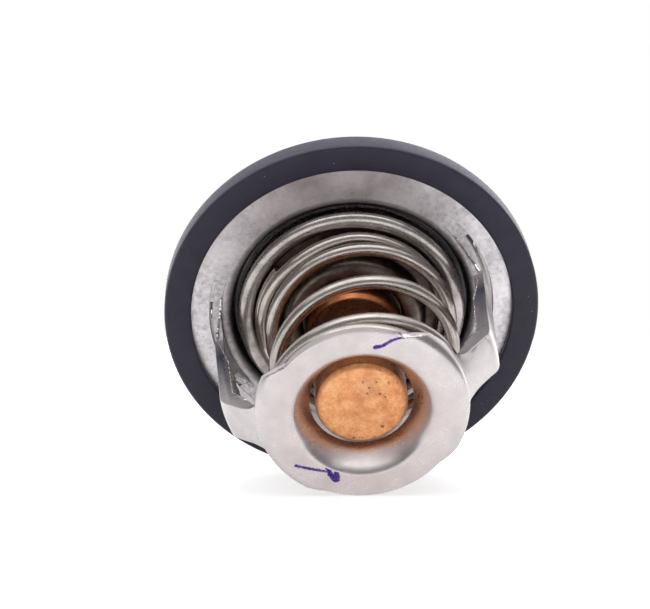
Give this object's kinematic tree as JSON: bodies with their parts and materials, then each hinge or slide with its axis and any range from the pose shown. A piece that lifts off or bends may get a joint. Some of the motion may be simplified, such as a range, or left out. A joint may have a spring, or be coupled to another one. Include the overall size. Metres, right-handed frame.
{
  "type": "engine coolant thermostat",
  "caption": "Wax-pellet engine thermostat insert: flange with rubber rim seal, poppet valve on a copper capsule, conical return spring and stamped frames.",
  "frame": {"origin": "on the axis, in the face of the lower frame's ring, which the part stands on", "axes": "+Z along the axis towards the outlet side, the frame's legs at +X and -X"},
  "size_m": [0.067, 0.067, 0.0507],
  "materials": {
    "seal_rubber": "matte",
    "flange_steel": "dull rolled",
    "frame_steel": "satin",
    "bridge_steel": "satin",
    "spring_steel": "drawn wire",
    "plate_steel": "polished",
    "collar_steel": "turned",
    "copper": "dull copper",
    "guide_brass": "turned",
    "washer_rubber": "matte",
    "sleeve_rubber": "matte",
    "wax": "waxy",
    "piston_steel": "ground"
  },
  "bodies": {
    "frame": {"lower_frame": "frame_steel", "flange": "flange_steel", "seal_ring": "seal_rubber", "upper_bridge": "bridge_steel", "piston": "piston_steel", "main_spring": "spring_steel"},
    "valve": {"valve_plate": "plate_steel", "capsule_cup": "copper", "piston_guide": "guide_brass", "rubber_sleeve": "sleeve_rubber", "wax_charge": "wax", "scraper_washer": "washer_rubber", "retaining_collar": "collar_steel"}
  },
  "joints": [
    {"name": "valve_slide", "type": "slide", "parent": "frame", "child": "valve", "axis": [0, 0, -1], "range_m": [0, 0.008], "stiffness_N_per_m": 3000, "springref_m": -0.012, "deforming": ["main_spring"]}
  ]
}
